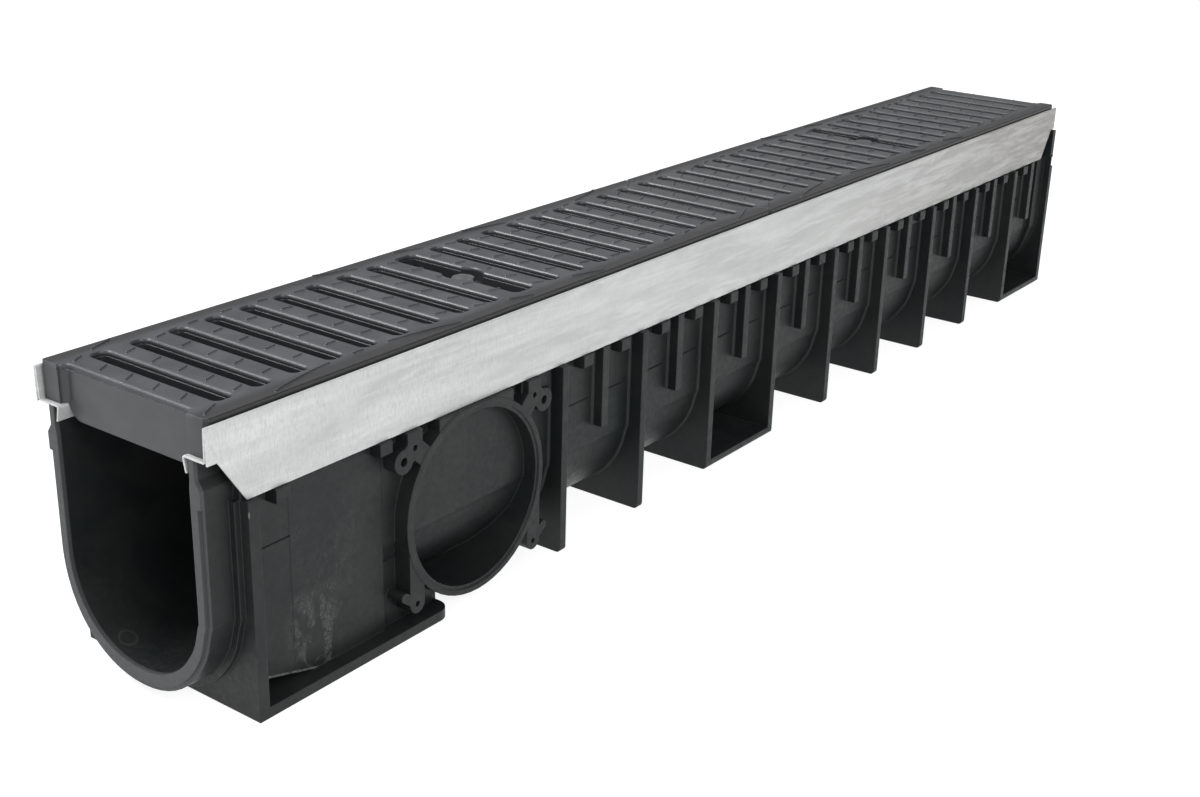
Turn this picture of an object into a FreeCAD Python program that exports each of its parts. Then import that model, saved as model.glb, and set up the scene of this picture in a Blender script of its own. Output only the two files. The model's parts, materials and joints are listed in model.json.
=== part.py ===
import FreeCAD, Part
import math
import os

# Channel drain, one metre long, with folded edge rails and two slotted gratings.
# Sizes are in millimetres. X runs along the channel and the near end is at minus X.
# The viewer's side is minus Y. Z is up, and the feet stand on Z = 0.

Vector = FreeCAD.Vector

# How far a solid runs past the face that it cuts, or into the solid that it is joined to
OVERLAP = 1.0
# How near an edge lies to where it is looked for
NEAR = 0.01

# Whole channel
CHANNEL_LENGTH = 1000.0
HALF_LENGTH = CHANNEL_LENGTH / 2
RIB_HALF_WIDTH = 67.5

# Trough section
TROUGH_INSIDE = 50.0
TROUGH_WALL = 7.3
TROUGH_OUTSIDE = TROUGH_INSIDE + TROUGH_WALL
BEND_Z = 68.0
BOTTOM_INSIDE_Z = 15.5
BOTTOM_OUTSIDE_Z = 5.5
BEND_EXPONENT = 2.1
BEND_POINTS = 16
NECK_INSIDE = 50.6
NECK_WALL = 3.5
NECK_OUTSIDE = NECK_INSIDE + NECK_WALL
SHOULDER_Z = 131.0
NECK_Z = 135.7
NECK_TOP_Z = 146.5
OPEN_TOP_Z = 200.0

# End collars
COLLAR_PROUD = 4.0
COLLAR_OUTSIDE = TROUGH_OUTSIDE + COLLAR_PROUD
COLLAR_TOP_Z = 121.2
NEAR_PLATE_START = -480.1
NEAR_PLATE_THICKNESS = 6.7
NEAR_COLLAR_THICKNESS = 3.4
FAR_COLLAR_LENGTH = 22.0
SEAL_STEP_DEPTH = 1.5
SEAL_STEP_WIDTH = 2.4

# Ribs
RIB_PITCH = 81.3
RIB_COUNT = 10
RIB_THICKNESS = 5.5
RIB_CORNER = 3.0
RIB_TOP_Z = 121.2
RIB_HALF_WIDTH_IN_SKIRT = 62.0
END_PLATE_TOP_Z = 145.0
END_PLATE_UPPER_HALF_WIDTH = 66.5
END_NOTCH_WIDTH = 4.0
END_NOTCH_BOTTOM_Z = 112.0
END_NOTCH_TOP_Z = 121.0
END_NOTCH_DEPTH = 3.0
MID_RIB_THICKNESS = 6.2
MID_RIB_HALF_WIDTH = 64.8
MID_RIB_BOTTOM_Z = 69.0

# Wall details in each half bay
KNOB_LENGTH = 8.7
KNOB_TO_RIB = 11.8
KNOB_FACE = 66.0
KNOB_BOTTOM_Z = 113.2
KNOB_CORNER = 1.2
KNOB_STARTS_ON_PANEL = (-460.8, -388.8)
ROOT_BEVEL = 1.2
ROOT_SINK = 0.4
LINE_Z = 88.3
LINE_HEIGHT = 1.0
LINE_DEPTH = 0.8
LINE_INSET = 3.0
TAB_STARTS = (-269.3, 218.6)
TAB_LENGTH = 27.0
TAB_BOTTOM_Z = 111.5
TAB_HALF_WIDTH = 62.0

# Feet
FOOT_THICKNESS = 6.0
NEAR_FOOT_END = -336.5
FOOT_CORNER = 9.0
NEAR_PANEL_STEP_X = -446.0
NEAR_PANEL_END = -380.3
NEAR_PANEL_PROUD = 0.25
NEAR_PANEL_THICKNESS = 5.0
NEAR_PANEL_LOW_TOP_Z = 74.0
NEAR_PANEL_TOP_Z = 119.0
NEAR_PANEL_NOTCH_LENGTH = 40.0
NEAR_PANEL_NOTCH_HEIGHT = 11.0
NEAR_LINE_END = -446.0
MID_FOOT_RIB = 7
FAR_FOOT_RIB = 1

# Side outlets
OUTLET_X = HALF_LENGTH - 10 * RIB_PITCH
OUTLET_Z = 64.8
OUTLET_RADIUS = 52.5
OUTLET_LIP_RADIUS = 54.8
OUTLET_OUTER_RADIUS = 58.0
OUTLET_FACE = 67.0
OUTLET_LIP_FACE = 66.2
OUTLET_ROOT = 22.0
SCREW_DX = 50.4
SCREW_DZ = 46.7
SCREW_HOLE_RADIUS = 1.7
SCREW_HOLE_DEPTH = 8.0
SCREW_LUG_RADIUS = 5.6
PIN_DX = 59.1
PIN_DZ = 41.2
PIN_HOLE_RADIUS = 2.6
PIN_LUG_RADIUS = 7.0
LUG_FACE = 66.6
LUG_ROOT = 48.0
LOW_LUG_ROOT = 36.0
SPOKE_INSET = 10.0
ARM_LENGTH = 9.5
ARM_RISE = 7.0
ARM_RADIUS = 2.8
LOW_SPOKE_HEIGHT = 32.0
FOOT_WEB_FACE = 55.0
FOOT_WEB_THICKNESS = 5.0
FOOT_WEB_TOP_Z = 45.0
OUTLET_WEB_HALF_LENGTH = 31.0
OUTLET_WEB_DROP = 5.0

# Edge rails
SHEET = 1.0
RAIL_OUTSIDE = 64.0
RAIL_TOP_Z = 165.2
SKIRT_BOTTOM_Z = 121.5
SEAT_Z = NECK_TOP_Z + SHEET
LEAF_GAP_AT_SEAT = 0.6
BEND_RADIUS = 0.6
SEAT_END = 46.5
HOOK_KNEE_OFFSET = 1.1
HOOK_KNEE_Z = 140.2
HOOK_TIP_OFFSET = 1.6
HOOK_TIP_Z = 138.6
SKIRT_NOTCH_Z = 146.0
SKIRT_NOTCH_LENGTH = 6.0
SKIRT_CUT_LENGTH = 22.5

# Gratings
GRATING_TOP_Z = 168.2
GRATING_END_INSET = 2.5
SEAM_GAP = 1.0
GRATING_LENGTH = HALF_LENGTH - GRATING_END_INSET - SEAM_GAP / 2
GRATING_SIDE_CLEARANCE = 0.5
GRATING_HALF_WIDTH = RAIL_OUTSIDE - 2 * SHEET - GRATING_SIDE_CLEARANCE
GRATING_DRAFT = 0.8
GRATING_EDGE = 0.8
GRATING_EDGE_MID = 0.25
GRATING_FOOT_EDGE = 1.0
GRATING_CORNER = 2.0
SLOT_PITCHES = 20
SLOT_WIDTH = 10.0
LOCK_SLOT_WIDTH = 16.5
LOCK_SLOT_EXTRA = LOCK_SLOT_WIDTH - SLOT_WIDTH
SLOT_PITCH = (GRATING_LENGTH + SEAM_GAP - LOCK_SLOT_EXTRA) / SLOT_PITCHES
SLOT_HALF_LENGTH = 48.5
SLOT_CORNER = 4.2
# The rounding of a bar's upper edge, as pairs of depth below the top and added half width.
EDGE_STEPS = ((2.0, 0.0), (1.0, 0.27), (0.35, 0.87), (0.0, 1.7))
END_FLARE_SHARE = 0.35
LEDGE_DEPTH = 3.0
LEDGE_WIDTH = 0.5
CROSSBAR_BOTTOM_Z = 139.0
CROSSBAR_HALF_WIDTH = 45.6
CROSSBAR_CORNER = 8.0

# Raised grip marks on the gratings, which lie on a set of equal waves
GRIP_WIDTH = 1.7
GRIP_TAPER = 0.45
GRIP_HEIGHT = 0.9
GRIP_SINK = 0.4
GRIP_PITCH = 19.9
GRIP_STEPS = 6
GRIP_STEPS_ON_BAR = (2, 3, 4)
GRIP_EDGE_INSET = 1.8
GRIP_SLOT_MARGIN = 1.2
WAVE_LEVEL = 19.4
WAVE_HEIGHT = 30.3
WAVE_CREST = 139.0
WAVE_FULLNESS = 0.75

# Locks
LOCK_PITCH_INDEX = 10
LOCK_POCKET_RADIUS = 12.0
LOCK_RIM_RADIUS = 15.0
LOCK_FLOOR_Z = 160.0
LOCK_FLOOR_THICKNESS = 8.0
BOLT_RADIUS = 4.0
BOLT_LENGTH = 40.0
BOLT_END_CHAMFER = 0.8
BOLT_HEAD_HEIGHT = 5.3
HEX_ACROSS_FLATS = 13.0
PIVOT_CLEARANCE = 0.08
THREAD_CLEARANCE = 0.05
HOLE_CLEARANCE = 0.2
LOCK_BAR_TOP_GAP = 0.3
LOCK_BAR_TOP_Z = HOOK_TIP_Z - LOCK_BAR_TOP_GAP
LOCK_BAR_THICKNESS = 5.0
LOCK_BAR_RADIUS = 49.3
LOCK_BAR_HALF_WIDTH = 9.0
WASHER_RADIUS = 8.0
WASHER_THICKNESS = 1.6
NUT_HEIGHT = 6.8
STOP_RADIUS = 2.7
STOP_GAP = 0.3
STOP_OFFSET = LOCK_BAR_HALF_WIDTH + STOP_RADIUS + STOP_GAP
STOP_BOTTOM_Z = 135.0


def box(x0, x1, y0, y1, z0, z1):
    return Part.makeBox(x1 - x0, y1 - y0, z1 - z0, Vector(x0, y0, z0))


def polygon_prism(points, run):
    wire = Part.makePolygon(points + [points[0]])
    return Part.Face(wire).extrude(run)


def section_prism(points, x0, x1):
    corners = [Vector(x0, y, z) for y, z in points]
    return polygon_prism(corners, Vector(x1 - x0, 0, 0))


def cylinder_z(radius, x, y, z0, z1):
    return Part.makeCylinder(radius, z1 - z0, Vector(x, y, z0), Vector(0, 0, 1))


def cylinder_y(radius, x, z, y0, y1):
    return Part.makeCylinder(radius, y1 - y0, Vector(x, y0, z), Vector(0, 1, 0))


def mirror_y(shape):
    return shape.mirror(Vector(0, 0, 0), Vector(0, 1, 0))


def line(a, b):
    return Part.LineSegment(Vector(*a), Vector(*b)).toShape()


def arc(a, b, c):
    return Part.Arc(Vector(*a), Vector(*b), Vector(*c)).toShape()


def bend_curve(x, half_width, bottom_z):
    # The round lower part of the trough, from the plus Y side to the minus Y side.
    points = []
    power = 2.0 / BEND_EXPONENT
    depth = BEND_Z - bottom_z
    for step in range(BEND_POINTS + 1):
        angle = math.pi * step / BEND_POINTS
        across = math.copysign(abs(math.cos(angle)) ** power, math.cos(angle))
        down = abs(math.sin(angle)) ** power
        points.append(Vector(x, half_width * across, BEND_Z - depth * down))
    curve = Part.BSplineCurve()
    curve.interpolate(Points=points, InitialTangent=Vector(0, 0, -1), FinalTangent=Vector(0, 0, 1))
    return curve.toShape()


def trough_solid(half_width, bottom_z, neck_half_width, top_z, x0, x1):
    # A solid filled up to top_z, as wide as the trough's inside or outside.
    edges = [bend_curve(x0, half_width, bottom_z)]
    edges.append(line((x0, -half_width, BEND_Z), (x0, -half_width, SHOULDER_Z)))
    edges.append(line((x0, -half_width, SHOULDER_Z), (x0, -neck_half_width, NECK_Z)))
    edges.append(line((x0, -neck_half_width, NECK_Z), (x0, -neck_half_width, top_z)))
    edges.append(line((x0, -neck_half_width, top_z), (x0, neck_half_width, top_z)))
    edges.append(line((x0, neck_half_width, top_z), (x0, neck_half_width, NECK_Z)))
    edges.append(line((x0, neck_half_width, NECK_Z), (x0, half_width, SHOULDER_Z)))
    edges.append(line((x0, half_width, SHOULDER_Z), (x0, half_width, BEND_Z)))
    wire = Part.Wire(Part.__sortEdges__(edges))
    return Part.Face(wire).extrude(Vector(x1 - x0, 0, 0))


def collar_solid(x0, x1):
    # A band around the trough that stands proud of its outside.
    edges = [bend_curve(x0, COLLAR_OUTSIDE, BOTTOM_OUTSIDE_Z - COLLAR_PROUD)]
    edges.append(line((x0, -COLLAR_OUTSIDE, BEND_Z), (x0, -COLLAR_OUTSIDE, COLLAR_TOP_Z)))
    edges.append(line((x0, -COLLAR_OUTSIDE, COLLAR_TOP_Z), (x0, COLLAR_OUTSIDE, COLLAR_TOP_Z)))
    edges.append(line((x0, COLLAR_OUTSIDE, COLLAR_TOP_Z), (x0, COLLAR_OUTSIDE, BEND_Z)))
    wire = Part.Wire(Part.__sortEdges__(edges))
    return Part.Face(wire).extrude(Vector(x1 - x0, 0, 0))


def rounded_foot_plate(x0, x1, half_width, top_z):
    plate = box(x0, x1, -half_width, half_width, 0, top_z)
    edges = []
    for edge in plate.Edges:
        center = edge.CenterOfMass
        if abs(center.z) < NEAR and abs(abs(center.y) - half_width) < NEAR:
            edges.append(edge)
    return plate.makeFillet(RIB_CORNER, edges)


def main_rib(x1, thickness):
    x0 = x1 - thickness
    lower = rounded_foot_plate(x0, x1, RIB_HALF_WIDTH, RIB_TOP_Z)
    inner = RIB_HALF_WIDTH_IN_SKIRT
    upper = box(x0, x1, -inner, inner, RIB_TOP_Z - OVERLAP, NECK_TOP_Z)
    return [lower, upper]


def end_plate():
    x0 = HALF_LENGTH - RIB_THICKNESS
    half = END_PLATE_UPPER_HALF_WIDTH
    return box(x0, HALF_LENGTH, -half, half, RIB_TOP_Z - OVERLAP, END_PLATE_TOP_Z)


def end_notch():
    x0 = HALF_LENGTH - END_NOTCH_WIDTH
    y0 = -RIB_HALF_WIDTH - OVERLAP
    y1 = -RIB_HALF_WIDTH + END_NOTCH_DEPTH
    return box(x0, HALF_LENGTH + OVERLAP, y0, y1, END_NOTCH_BOTTOM_Z, END_NOTCH_TOP_Z)


def mid_rib(x_center):
    x0 = x_center - MID_RIB_THICKNESS / 2
    x1 = x_center + MID_RIB_THICKNESS / 2
    y1 = -TROUGH_INSIDE - TROUGH_WALL / 2
    lower = box(x0, x1, -MID_RIB_HALF_WIDTH, y1, MID_RIB_BOTTOM_Z, RIB_TOP_Z)
    upper = box(x0, x1, -RIB_HALF_WIDTH_IN_SKIRT, y1, RIB_TOP_Z - OVERLAP, NECK_TOP_Z)
    return [lower, upper]


def knob(x0):
    # A short post on the wall, close under the rail's skirt, with its lower front edge taken off.
    x1 = x0 + KNOB_LENGTH
    back = -TROUGH_OUTSIDE + OVERLAP
    corners = []
    corners.append(Vector(x0, back, KNOB_BOTTOM_Z))
    corners.append(Vector(x0, -KNOB_FACE + KNOB_CORNER, KNOB_BOTTOM_Z))
    corners.append(Vector(x0, -KNOB_FACE, KNOB_BOTTOM_Z + KNOB_CORNER))
    corners.append(Vector(x0, -KNOB_FACE, RIB_TOP_Z))
    corners.append(Vector(x0, back, RIB_TOP_Z))
    return polygon_prism(corners, Vector(x1 - x0, 0, 0))


def knob_beside(face_x):
    return knob(face_x - KNOB_TO_RIB - KNOB_LENGTH)


def root_outline(x, offset):
    # The trough's outside, moved outward by the offset.
    half = TROUGH_OUTSIDE + offset
    edges = [bend_curve(x, half, BOTTOM_OUTSIDE_Z - offset)]
    edges.append(line((x, -half, BEND_Z), (x, -half, RIB_TOP_Z)))
    edges.append(line((x, -half, RIB_TOP_Z), (x, half, RIB_TOP_Z)))
    edges.append(line((x, half, RIB_TOP_Z), (x, half, BEND_Z)))
    return Part.Wire(Part.__sortEdges__(edges))


def root_bevel(face_x):
    # The slope between the trough's outside and a rib's near face.
    first = root_outline(face_x - ROOT_BEVEL - ROOT_SINK, -ROOT_SINK)
    last = root_outline(face_x + OVERLAP, ROOT_BEVEL + OVERLAP)
    return Part.makeLoft([first, last], True, True)


def mid_root_bevel(face_x):
    # The slope between the trough's wall and a mid rib's near face.
    sunk = -TROUGH_OUTSIDE + OVERLAP
    proud = -TROUGH_OUTSIDE - ROOT_BEVEL
    corners = []
    corners.append(Vector(face_x - ROOT_BEVEL, sunk, MID_RIB_BOTTOM_Z))
    corners.append(Vector(face_x - ROOT_BEVEL, -TROUGH_OUTSIDE, MID_RIB_BOTTOM_Z))
    corners.append(Vector(face_x, proud, MID_RIB_BOTTOM_Z))
    corners.append(Vector(face_x + OVERLAP, proud, MID_RIB_BOTTOM_Z))
    corners.append(Vector(face_x + OVERLAP, sunk, MID_RIB_BOTTOM_Z))
    return polygon_prism(corners, Vector(0, 0, RIB_TOP_Z - MID_RIB_BOTTOM_Z))


def wall_line(x0, x1):
    y0 = -TROUGH_OUTSIDE - OVERLAP
    y1 = -TROUGH_OUTSIDE + LINE_DEPTH
    return box(x0, x1, y0, y1, LINE_Z - LINE_HEIGHT / 2, LINE_Z + LINE_HEIGHT / 2)


def tab(x0):
    y1 = -TROUGH_INSIDE - OVERLAP
    return box(x0, x0 + TAB_LENGTH, -TAB_HALF_WIDTH, y1, TAB_BOTTOM_Z, NECK_TOP_Z)


def near_foot():
    plate = box(NEAR_PLATE_START, NEAR_FOOT_END, -RIB_HALF_WIDTH, RIB_HALF_WIDTH, 0, FOOT_THICKNESS)
    corners = []
    for edge in plate.Edges:
        center = edge.CenterOfMass
        if abs(center.x - NEAR_FOOT_END) < NEAR and abs(abs(center.y) - RIB_HALF_WIDTH) < NEAR:
            corners.append(edge)
    return plate.makeFillet(FOOT_CORNER, corners)


def near_panel():
    # The flat side of the near foot, which stands slightly proud beside the outlet.
    y0 = -TROUGH_OUTSIDE
    y1 = y0 + NEAR_PANEL_THICKNESS
    x0 = NEAR_PLATE_START + NEAR_PLATE_THICKNESS
    z0 = FOOT_THICKNESS - OVERLAP
    low = box(x0 - OVERLAP, NEAR_PANEL_STEP_X, y0, y1, z0, NEAR_PANEL_LOW_TOP_Z)
    high = box(NEAR_PANEL_STEP_X, NEAR_PANEL_END, y0 - NEAR_PANEL_PROUD, y1, z0, NEAR_PANEL_TOP_Z)
    corners = []
    x1 = x0 + NEAR_PANEL_NOTCH_LENGTH
    corners.append(Vector(x0 - OVERLAP, y0 - OVERLAP, FOOT_THICKNESS))
    corners.append(Vector(x1, y0 - OVERLAP, FOOT_THICKNESS))
    corners.append(Vector(x0 - OVERLAP, y0 - OVERLAP, FOOT_THICKNESS + NEAR_PANEL_NOTCH_HEIGHT))
    notch = polygon_prism(corners, Vector(0, NEAR_PANEL_THICKNESS + 2 * OVERLAP, 0))
    return low.fuse(high).cut(notch)


def spoke(x, z, radius, y_root):
    # A bar from a lug toward the outlet's ring, as wide as the lug.
    dx = x - OUTLET_X
    dz = z - OUTLET_Z
    length = math.hypot(dx, dz)
    ux = dx / length
    uz = dz / length
    start = OUTLET_OUTER_RADIUS - SPOKE_INSET / 2
    x0 = OUTLET_X + ux * start
    z0 = OUTLET_Z + uz * start
    corners = []
    corners.append(Vector(x0 - uz * radius, -LUG_FACE, z0 + ux * radius))
    corners.append(Vector(x - uz * radius, -LUG_FACE, z + ux * radius))
    corners.append(Vector(x + uz * radius, -LUG_FACE, z - ux * radius))
    corners.append(Vector(x0 + uz * radius, -LUG_FACE, z0 - ux * radius))
    return polygon_prism(corners, Vector(0, LUG_FACE - y_root, 0))


def link(xa, za, xb, zb, radius, y_root):
    # A flat bar between two lugs or from a lug to its arm.
    length = math.hypot(xb - xa, zb - za)
    ux = (xb - xa) / length
    uz = (zb - za) / length
    corners = []
    corners.append(Vector(xa - uz * radius, -LUG_FACE, za + ux * radius))
    corners.append(Vector(xb - uz * radius, -LUG_FACE, zb + ux * radius))
    corners.append(Vector(xb + uz * radius, -LUG_FACE, zb - ux * radius))
    corners.append(Vector(xa + uz * radius, -LUG_FACE, za - ux * radius))
    return polygon_prism(corners, Vector(0, LUG_FACE - y_root, 0))


def upright(x, radius, z0, z1, y_root):
    # An upright flat bar as wide as a lug.
    return box(x - radius, x + radius, -LUG_FACE, -y_root, z0, z1)


def outlet_solids():
    ring = cylinder_y(OUTLET_OUTER_RADIUS, OUTLET_X, OUTLET_Z, -OUTLET_FACE, -OUTLET_ROOT)
    x0 = OUTLET_X - OUTLET_OUTER_RADIUS
    x1 = OUTLET_X + OUTLET_OUTER_RADIUS
    skirt_room = box(x0, x1, -OUTLET_FACE - OVERLAP, -RIB_HALF_WIDTH_IN_SKIRT, RIB_TOP_Z, NECK_TOP_Z)
    solids = [ring.cut(skirt_room)]
    for side in (-1, 1):
        x = OUTLET_X + side * SCREW_DX
        high = OUTLET_Z + SCREW_DZ
        low = OUTLET_Z - SCREW_DZ
        pin_x = OUTLET_X + side * PIN_DX
        pin_z = OUTLET_Z + PIN_DZ
        arm_x = x + side * ARM_LENGTH
        arm_z = low + ARM_RISE
        solids.append(cylinder_y(SCREW_LUG_RADIUS, x, high, -LUG_FACE, -LUG_ROOT))
        solids.append(spoke(x, high, SCREW_LUG_RADIUS, LUG_ROOT))
        solids.append(cylinder_y(PIN_LUG_RADIUS, pin_x, pin_z, -LUG_FACE, -LUG_ROOT))
        solids.append(link(x, high, pin_x, pin_z, SCREW_LUG_RADIUS, LUG_ROOT))
        solids.append(upright(x, SCREW_LUG_RADIUS, high, RIB_TOP_Z, LUG_ROOT))
        solids.append(cylinder_y(SCREW_LUG_RADIUS, x, low, -LUG_FACE, -LOW_LUG_ROOT))
        solids.append(upright(x, SCREW_LUG_RADIUS, low, low + LOW_SPOKE_HEIGHT, LOW_LUG_ROOT))
        solids.append(cylinder_y(ARM_RADIUS, arm_x, arm_z, -LUG_FACE, -LOW_LUG_ROOT))
        solids.append(link(x, low, arm_x, arm_z, ARM_RADIUS, LOW_LUG_ROOT))
    x0 = OUTLET_X - OUTLET_WEB_HALF_LENGTH
    x1 = OUTLET_X + OUTLET_WEB_HALF_LENGTH
    y1 = -TROUGH_INSIDE - OVERLAP
    z0 = OUTLET_Z + OUTLET_RADIUS - OUTLET_WEB_DROP
    solids.append(box(x0, x1, -LUG_FACE, y1, z0, RIB_TOP_Z))
    solids.append(box(x0, x1, -RIB_HALF_WIDTH_IN_SKIRT, y1, z0, NECK_TOP_Z))
    # A low web on the near foot closes the corner between the panel and the ring.
    x0 = NEAR_PANEL_END - OVERLAP
    z0 = FOOT_THICKNESS - OVERLAP
    y1 = FOOT_WEB_THICKNESS - FOOT_WEB_FACE
    solids.append(box(x0, NEAR_FOOT_END, -FOOT_WEB_FACE, y1, z0, FOOT_WEB_TOP_Z))
    return solids


def outlet_cuts():
    y0 = -OUTLET_FACE - OVERLAP
    bore = cylinder_y(OUTLET_RADIUS, OUTLET_X, OUTLET_Z, y0, 0)
    x0 = OUTLET_X - OUTLET_RADIUS - OVERLAP
    x1 = OUTLET_X + OUTLET_RADIUS + OVERLAP
    wall = trough_solid(TROUGH_OUTSIDE, BOTTOM_OUTSIDE_Z, NECK_OUTSIDE, NECK_TOP_Z, x0, x1)
    cuts = [bore.cut(wall)]
    cuts.append(cylinder_y(OUTLET_LIP_RADIUS, OUTLET_X, OUTLET_Z, y0, -OUTLET_LIP_FACE))
    for side in (-1, 1):
        x = OUTLET_X + side * SCREW_DX
        y1 = -LUG_FACE + SCREW_HOLE_DEPTH
        for z in (OUTLET_Z + SCREW_DZ, OUTLET_Z - SCREW_DZ):
            cuts.append(cylinder_y(SCREW_HOLE_RADIUS, x, z, y0, y1))
        pin_x = OUTLET_X + side * PIN_DX
        pin_z = OUTLET_Z + PIN_DZ
        cuts.append(cylinder_y(PIN_HOLE_RADIUS, pin_x, pin_z, y0, y1))
    return cuts


def side_details():
    # Added and removed solids on the viewer's side. The other side is their mirror image.
    added = []
    removed = []
    for index in range(RIB_COUNT - 1):
        rib_end = HALF_LENGTH - index * RIB_PITCH
        center = rib_end - RIB_PITCH / 2
        bay_start = rib_end - RIB_PITCH
        mid_face = center - MID_RIB_THICKNESS / 2
        added.extend(mid_rib(center))
        added.append(knob_beside(mid_face))
        added.append(mid_root_bevel(mid_face))
        removed.append(wall_line(bay_start, mid_face - LINE_INSET))
        if index > 0:
            rib_face = rib_end - RIB_THICKNESS
            added.append(knob_beside(rib_face))
            removed.append(wall_line(center + MID_RIB_THICKNESS / 2, rib_face - LINE_INSET))
    for x0 in KNOB_STARTS_ON_PANEL:
        added.append(knob(x0))
    removed.append(wall_line(NEAR_PLATE_START + NEAR_PLATE_THICKNESS, NEAR_LINE_END))
    for x0 in TAB_STARTS:
        added.append(tab(x0))
    added.append(near_panel())
    return added, removed


def seal_step():
    # The outer part of the near end face is set back for the sealing cord.
    x1 = -HALF_LENGTH + SEAL_STEP_DEPTH
    outer = box(-HALF_LENGTH - OVERLAP, x1, -RIB_HALF_WIDTH, RIB_HALF_WIDTH, 0, COLLAR_TOP_Z)
    inset_width = TROUGH_OUTSIDE - SEAL_STEP_WIDTH
    inset_bottom = BOTTOM_OUTSIDE_Z + SEAL_STEP_WIDTH
    x0 = -HALF_LENGTH - 2 * OVERLAP
    kept = trough_solid(inset_width, inset_bottom, NECK_OUTSIDE, NECK_TOP_Z, x0, x1 + OVERLAP)
    return outer.cut(kept)


def channel_body():
    x0 = -HALF_LENGTH
    outer = trough_solid(TROUGH_OUTSIDE, BOTTOM_OUTSIDE_Z, NECK_OUTSIDE, NECK_TOP_Z, x0, HALF_LENGTH)
    solids = []
    near_plate_end = NEAR_PLATE_START + NEAR_PLATE_THICKNESS
    solids.extend(main_rib(near_plate_end, NEAR_PLATE_THICKNESS))
    solids.append(collar_solid(NEAR_PLATE_START - NEAR_COLLAR_THICKNESS, NEAR_PLATE_START))
    solids.append(collar_solid(HALF_LENGTH - FAR_COLLAR_LENGTH, HALF_LENGTH))
    for index in range(RIB_COUNT):
        rib_end = HALF_LENGTH - index * RIB_PITCH
        solids.extend(main_rib(rib_end, RIB_THICKNESS))
        if index > 0:
            solids.append(root_bevel(rib_end - RIB_THICKNESS))
    solids.append(end_plate())
    solids.append(near_foot())
    for index in (MID_FOOT_RIB, FAR_FOOT_RIB):
        x0 = HALF_LENGTH - index * RIB_PITCH - RIB_THICKNESS
        x1 = HALF_LENGTH - (index - 1) * RIB_PITCH
        solids.append(rounded_foot_plate(x0, x1, RIB_HALF_WIDTH, FOOT_THICKNESS))
    added, removed = side_details()
    front_outlet = outlet_solids()
    front_cuts = outlet_cuts()
    for shape in added + front_outlet:
        solids.append(shape)
        solids.append(mirror_y(shape))
    cuts = [seal_step(), end_notch(), mirror_y(end_notch())]
    for shape in removed + front_cuts:
        cuts.append(shape)
        cuts.append(mirror_y(shape))
    x0 = -HALF_LENGTH - OVERLAP
    x1 = HALF_LENGTH + OVERLAP
    inside = trough_solid(TROUGH_INSIDE, BOTTOM_INSIDE_Z, NECK_INSIDE, OPEN_TOP_Z, x0, x1)
    cuts.append(inside)
    body = outer.multiFuse(solids)
    body = body.cut(cuts)
    return body.removeSplitter()


def rail_profile(x):
    # The section of the folded sheet on the plus Y side, walked around once.
    out = RAIL_OUTSIDE
    mid = RAIL_OUTSIDE - SHEET
    inn = RAIL_OUTSIDE - 2 * SHEET
    foot = inn - LEAF_GAP_AT_SEAT
    r = BEND_RADIUS
    big = BEND_RADIUS + SHEET
    k = math.sqrt(0.5)
    hem_z = RAIL_TOP_Z - SHEET
    seat = SEAT_Z
    under = SEAT_Z - SHEET
    leaf_z = seat + r
    turn_y = foot - r
    hook_y = SEAT_END + big
    hook_z = seat - big
    knee = SEAT_END + HOOK_KNEE_OFFSET
    tip = SEAT_END + HOOK_TIP_OFFSET
    edges = []
    edges.append(line((x, out, SKIRT_BOTTOM_Z), (x, out, hem_z)))
    edges.append(arc((x, out, hem_z), (x, mid, RAIL_TOP_Z), (x, inn, hem_z)))
    edges.append(line((x, inn, hem_z), (x, foot, leaf_z)))
    edges.append(arc((x, foot, leaf_z), (x, turn_y + r * k, leaf_z - r * k), (x, turn_y, seat)))
    edges.append(line((x, turn_y, seat), (x, hook_y, seat)))
    edges.append(arc((x, hook_y, seat), (x, hook_y - big * k, hook_z + big * k), (x, SEAT_END, hook_z)))
    edges.append(line((x, SEAT_END, hook_z), (x, knee, HOOK_KNEE_Z)))
    edges.append(line((x, knee, HOOK_KNEE_Z), (x, tip, HOOK_TIP_Z)))
    edges.append(line((x, tip, HOOK_TIP_Z), (x, tip + SHEET, HOOK_TIP_Z)))
    edges.append(line((x, tip + SHEET, HOOK_TIP_Z), (x, knee + SHEET, HOOK_KNEE_Z)))
    edges.append(line((x, knee + SHEET, HOOK_KNEE_Z), (x, SEAT_END + SHEET, hook_z)))
    edges.append(arc((x, SEAT_END + SHEET, hook_z), (x, hook_y - r * k, hook_z + r * k), (x, hook_y, under)))
    edges.append(line((x, hook_y, under), (x, turn_y, under)))
    edges.append(arc((x, turn_y, under), (x, turn_y + big * k, leaf_z - big * k), (x, foot + SHEET, leaf_z)))
    edges.append(line((x, foot + SHEET, leaf_z), (x, mid, hem_z)))
    edges.append(line((x, mid, hem_z), (x, mid, SKIRT_BOTTOM_Z)))
    edges.append(line((x, mid, SKIRT_BOTTOM_Z), (x, out, SKIRT_BOTTOM_Z)))
    return Part.Face(Part.Wire(Part.__sortEdges__(edges)))


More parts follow.
